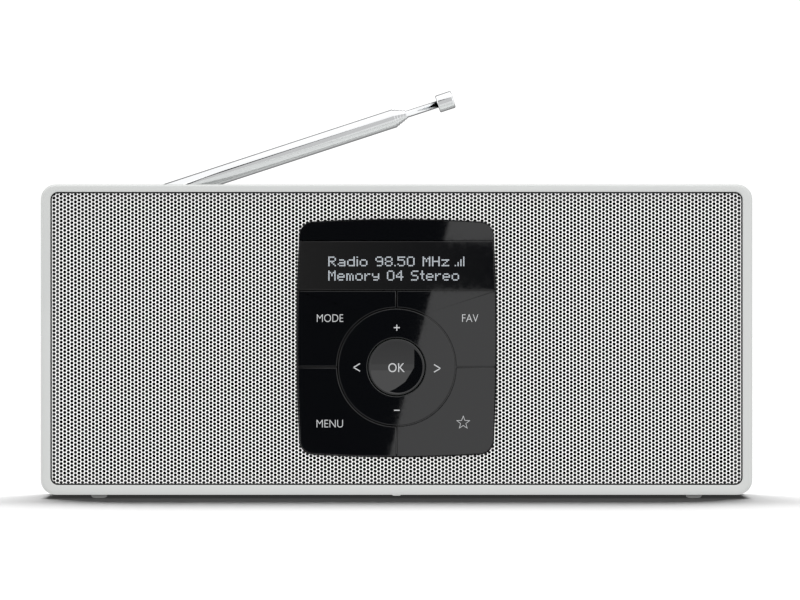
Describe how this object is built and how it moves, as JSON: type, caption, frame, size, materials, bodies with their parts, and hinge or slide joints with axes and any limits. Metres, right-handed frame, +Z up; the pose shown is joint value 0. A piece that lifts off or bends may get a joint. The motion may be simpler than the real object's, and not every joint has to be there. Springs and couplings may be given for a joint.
{
  "type": "tabletop radio",
  "caption": "Shallow silver radio with a perforated white front, a black key panel with display, rocking ring and centre button, battery bay and telescopic aerial.",
  "frame": {"origin": "centre of the footprint, on the table under the feet", "axes": "+X to the radio's right as seen from the front, +Y to the back, +Z up; the keys face -Y"},
  "size_m": [0.224, 0.05, 0.1296],
  "materials": {
    "silver": "fine satin, light silver grey",
    "white": "white powder coat on perforated steel",
    "cloth": "black acoustic cloth",
    "black": "matt black moulding",
    "gloss": "piano black",
    "glass": "tinted clear window over a dark display",
    "rubber": "grey foot",
    "silicone": "dark, matt",
    "board": "green solder mask",
    "steel": "zinc plated",
    "chrome": "bright plated",
    "paper": "coated paper cone",
    "aluminium": "plain extrusion",
    "wire": "insulated lead",
    "ribbon": "flat cable"
  },
  "bodies": {
    "cabinet": {"aerial_lead": "wire", "amplifier_heat_sink": "aluminium", "battery_contact_left": "steel", "battery_contact_right": "steel", "battery_tray": "black", "control_board": "board", "cover_screw_left_high": "steel", "cover_screw_left_low": "steel", "cover_screw_right_high": "steel", "cover_screw_right_low": "steel", "display_module": "silicone", "display_window": "glass", "foot_front_left": "rubber", "foot_front_right": "rubber", "foot_rear_left": "rubber", "foot_rear_right": "rubber", "front_housing": "silver", "grille_cloth": "cloth", "headphone_socket": "black", "main_board": "board", "panel_carrier": "gloss", "power_socket": "black", "rear_cover": "silver", "ribbon_cable": "ribbon", "smoothing_capacitor": "black", "speaker_baffle": "black", "speaker_basket_left": "steel", "speaker_basket_right": "steel", "speaker_grille": "white", "speaker_lead_left": "wire", "speaker_lead_right": "wire", "speaker_magnet_left": "steel", "speaker_magnet_right": "steel", "speaker_surround_left": "silicone", "speaker_surround_right": "silicone", "tuner_shield": "steel"},
    "mode_key": {"mode_key": "gloss"},
    "favourite_key": {"favourite_key": "gloss"},
    "menu_key": {"menu_key": "gloss"},
    "star_key": {"star_key": "gloss"},
    "ok_button": {"ok_button": "gloss"},
    "rocker_collar": {"rocker_collar": "silicone"},
    "rocker_ring": {"rocker_ring": "gloss"},
    "cone_left": {"speaker_cone_left": "paper", "speaker_cap_left": "paper"},
    "cone_right": {"speaker_cone_right": "paper", "speaker_cap_right": "paper"},
    "battery_door": {"battery_door": "silver"},
    "aerial_base": {"aerial_base": "chrome", "aerial_nut": "steel", "aerial_pin": "steel"},
    "aerial_tube_1": {"aerial_tube_1": "chrome"},
    "aerial_tube_2": {"aerial_tube_2": "chrome"},
    "aerial_tube_3": {"aerial_tube_3": "chrome"},
    "aerial_tube_4": {"aerial_tube_4": "chrome"},
    "aerial_tube_5": {"aerial_tube_5": "chrome"},
    "aerial_rod": {"aerial_rod": "chrome", "aerial_knob": "chrome"}
  },
  "joints": [
    {"name": "mode_key_press", "type": "slide", "parent": "cabinet", "child": "mode_key", "axis": [0, 1, 0], "range_m": [0, 0.0006], "stiffness_N_per_m": 1200, "springref_m": -0.0004},
    {"name": "favourite_key_press", "type": "slide", "parent": "cabinet", "child": "favourite_key", "axis": [0, 1, 0], "range_m": [0, 0.0006], "stiffness_N_per_m": 1200, "springref_m": -0.0004},
    {"name": "menu_key_press", "type": "slide", "parent": "cabinet", "child": "menu_key", "axis": [0, 1, 0], "range_m": [0, 0.0006], "stiffness_N_per_m": 1200, "springref_m": -0.0004},
    {"name": "star_key_press", "type": "slide", "parent": "cabinet", "child": "star_key", "axis": [0, 1, 0], "range_m": [0, 0.0006], "stiffness_N_per_m": 1200, "springref_m": -0.0004},
    {"name": "ok_button_press", "type": "slide", "parent": "cabinet", "child": "ok_button", "axis": [0, 1, 0], "range_m": [0, 0.0006], "stiffness_N_per_m": 1200, "springref_m": -0.0004},
    {"name": "rocker_up_down", "type": "hinge", "parent": "cabinet", "child": "rocker_collar", "pos_m": [0, -0.02175, 0.0413], "axis": [1, 0, 0], "range_deg": [-2, 2], "stiffness_Nm_per_rad": 0.6},
    {"name": "rocker_left_right", "type": "hinge", "parent": "rocker_collar", "child": "rocker_ring", "pos_m": [0, -0.02175, 0.0413], "axis": [0, 0, 1], "range_deg": [-2, 2], "stiffness_Nm_per_rad": 0.6},
    {"name": "cone_travel_left", "type": "slide", "parent": "cabinet", "child": "cone_left", "axis": [0, -1, 0], "range_m": [-0.001, 0.001], "stiffness_N_per_m": 1500, "deforming": ["speaker_surround_left"]},
    {"name": "cone_travel_right", "type": "slide", "parent": "cabinet", "child": "cone_right", "axis": [0, -1, 0], "range_m": [-0.001, 0.001], "stiffness_N_per_m": 1500, "deforming": ["speaker_surround_right"]},
    {"name": "battery_door_hinge", "type": "hinge", "parent": "cabinet", "child": "battery_door", "pos_m": [0, 0.0249, 0.01332], "axis": [-1, 0, 0], "range_deg": [0, 75]},
    {"name": "aerial_swivel", "type": "hinge", "parent": "cabinet", "child": "aerial_base", "pos_m": [-0.095, 0.02, 0.09], "axis": [0, -1, 0], "range_deg": [-18.1, 96.9]},
    {"name": "aerial_tilt", "type": "hinge", "parent": "aerial_base", "child": "aerial_tube_1", "pos_m": [-0.095, 0.02, 0.09], "axis": [-0.3107, 0, 0.9505], "range_deg": [0, 90]},
    {"name": "aerial_slide_1", "type": "slide", "parent": "aerial_tube_1", "child": "aerial_tube_2", "axis": [0.9505, 0, 0.3107], "range_m": [0, 0.084]},
    {"name": "aerial_slide_2", "type": "slide", "parent": "aerial_tube_2", "child": "aerial_tube_3", "axis": [0.9505, 0, 0.3107], "range_m": [0, 0.084]},
    {"name": "aerial_slide_3", "type": "slide", "parent": "aerial_tube_3", "child": "aerial_tube_4", "axis": [0.9505, 0, 0.3107], "range_m": [0, 0.084]},
    {"name": "aerial_slide_4", "type": "slide", "parent": "aerial_tube_4", "child": "aerial_tube_5", "axis": [0.9505, 0, 0.3107], "range_m": [0, 0.084]},
    {"name": "aerial_slide_5", "type": "slide", "parent": "aerial_tube_5", "child": "aerial_rod", "axis": [0.9505, 0, 0.3107], "range_m": [0, 0.084]}
  ]
}
